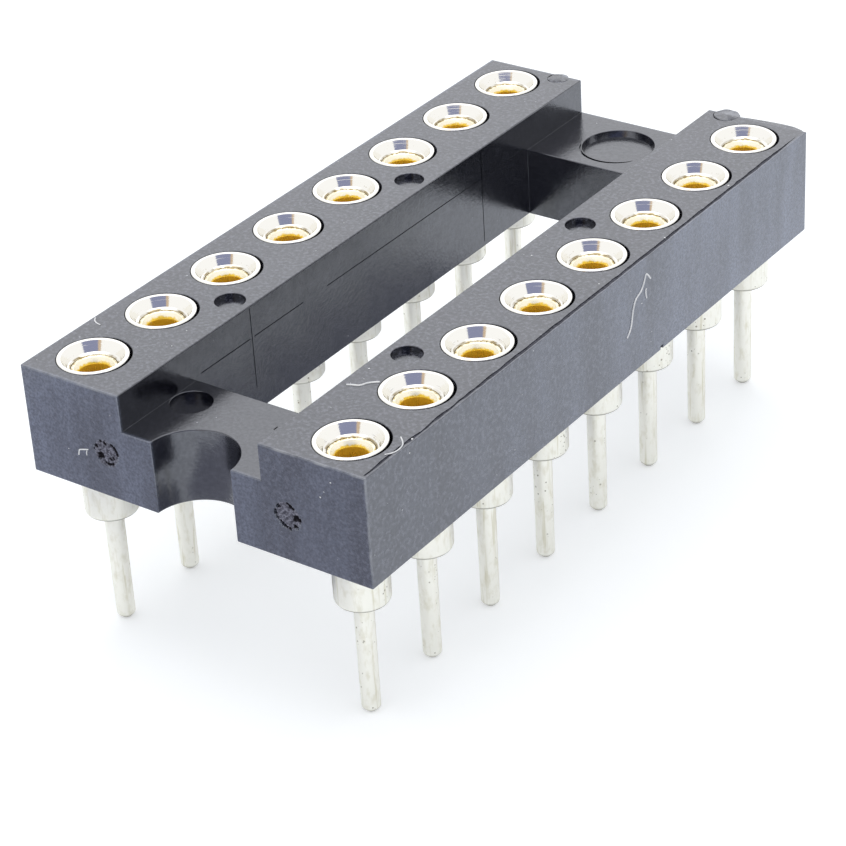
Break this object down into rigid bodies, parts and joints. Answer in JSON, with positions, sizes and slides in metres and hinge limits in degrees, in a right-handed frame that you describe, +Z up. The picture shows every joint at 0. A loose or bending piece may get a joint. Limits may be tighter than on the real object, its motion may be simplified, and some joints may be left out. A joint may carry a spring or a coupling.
{
  "type": "ic socket",
  "caption": "Black moulded dual in-line socket with a row of turned, tin-plated sleeve contacts along each side, gold spring clips inside them and round solder tails.",
  "frame": {"origin": "under the middle of the moulding, in the plane of the solder tails' tips", "axes": "+X across the two rows, +Y along them away from the notched end, +Z up from the tips to the sleeves' mouths"},
  "size_m": [0.0102, 0.0202, 0.0075],
  "materials": {
    "moulding": "charcoal-black glass-filled thermoplastic, satin, with faint flow lines and dust",
    "sleeve_plate": "turned brass under bright tin plate, with fine turning lines and a few specks",
    "clip_plate": "gold-plated spring alloy, bright"
  },
  "bodies": {
    "root": {"housing": "moulding", "sleeve_01": "sleeve_plate", "sleeve_02": "sleeve_plate", "sleeve_03": "sleeve_plate", "sleeve_04": "sleeve_plate", "sleeve_05": "sleeve_plate", "sleeve_06": "sleeve_plate", "sleeve_07": "sleeve_plate", "sleeve_08": "sleeve_plate", "sleeve_09": "sleeve_plate", "sleeve_10": "sleeve_plate", "sleeve_11": "sleeve_plate", "sleeve_12": "sleeve_plate", "sleeve_13": "sleeve_plate", "sleeve_14": "sleeve_plate", "sleeve_15": "sleeve_plate", "sleeve_16": "sleeve_plate", "clip_01": "clip_plate", "clip_02": "clip_plate", "clip_03": "clip_plate", "clip_04": "clip_plate", "clip_05": "clip_plate", "clip_06": "clip_plate", "clip_07": "clip_plate", "clip_08": "clip_plate", "clip_09": "clip_plate", "clip_10": "clip_plate", "clip_11": "clip_plate", "clip_12": "clip_plate", "clip_13": "clip_plate", "clip_14": "clip_plate", "clip_15": "clip_plate", "clip_16": "clip_plate"}
  },
  "joints": []
}
